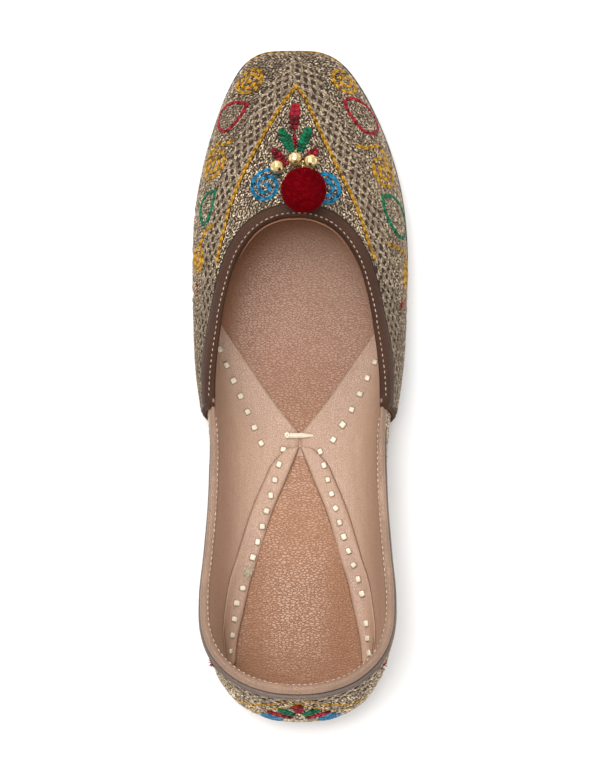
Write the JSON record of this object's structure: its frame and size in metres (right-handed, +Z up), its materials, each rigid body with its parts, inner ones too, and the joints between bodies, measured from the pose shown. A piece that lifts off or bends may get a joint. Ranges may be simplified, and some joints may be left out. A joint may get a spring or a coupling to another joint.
{
  "type": "mojari shoe",
  "caption": "Flat embroidered slip-on shoe with an open throat, bound edges, a leather lining and sole, and a red pompom with small gold beads on the vamp.",
  "frame": {"origin": "on the floor, under the middle of the shoe's length and width", "axes": "+Z up; the toe points along -Y and the heel along +Y; +X is the wearer's left"},
  "size_m": [0.0832, 0.2576, 0.0583],
  "materials": {
    "sole_leather": "dark waxed sole leather, matt",
    "footbed_leather": "smooth grained rose-brown leather, satin",
    "lining_leather": "nude kid leather, satin",
    "embroidered_cloth": "brown ground covered in pale metallic chain stitch",
    "binding_leather": "bronze-brown leather, satin",
    "pompom_wool": "clipped dark red wool pile",
    "bead_metal": "polished faceted gold-coloured beads"
  },
  "bodies": {
    "root": {"outsole": "sole_leather", "insole": "footbed_leather", "upper": "embroidered_cloth", "throat_binding": "binding_leather", "topline_binding": "lining_leather", "pompom": "pompom_wool", "bead_left": "bead_metal", "bead_middle": "bead_metal", "bead_right": "bead_metal"}
  },
  "joints": []
}
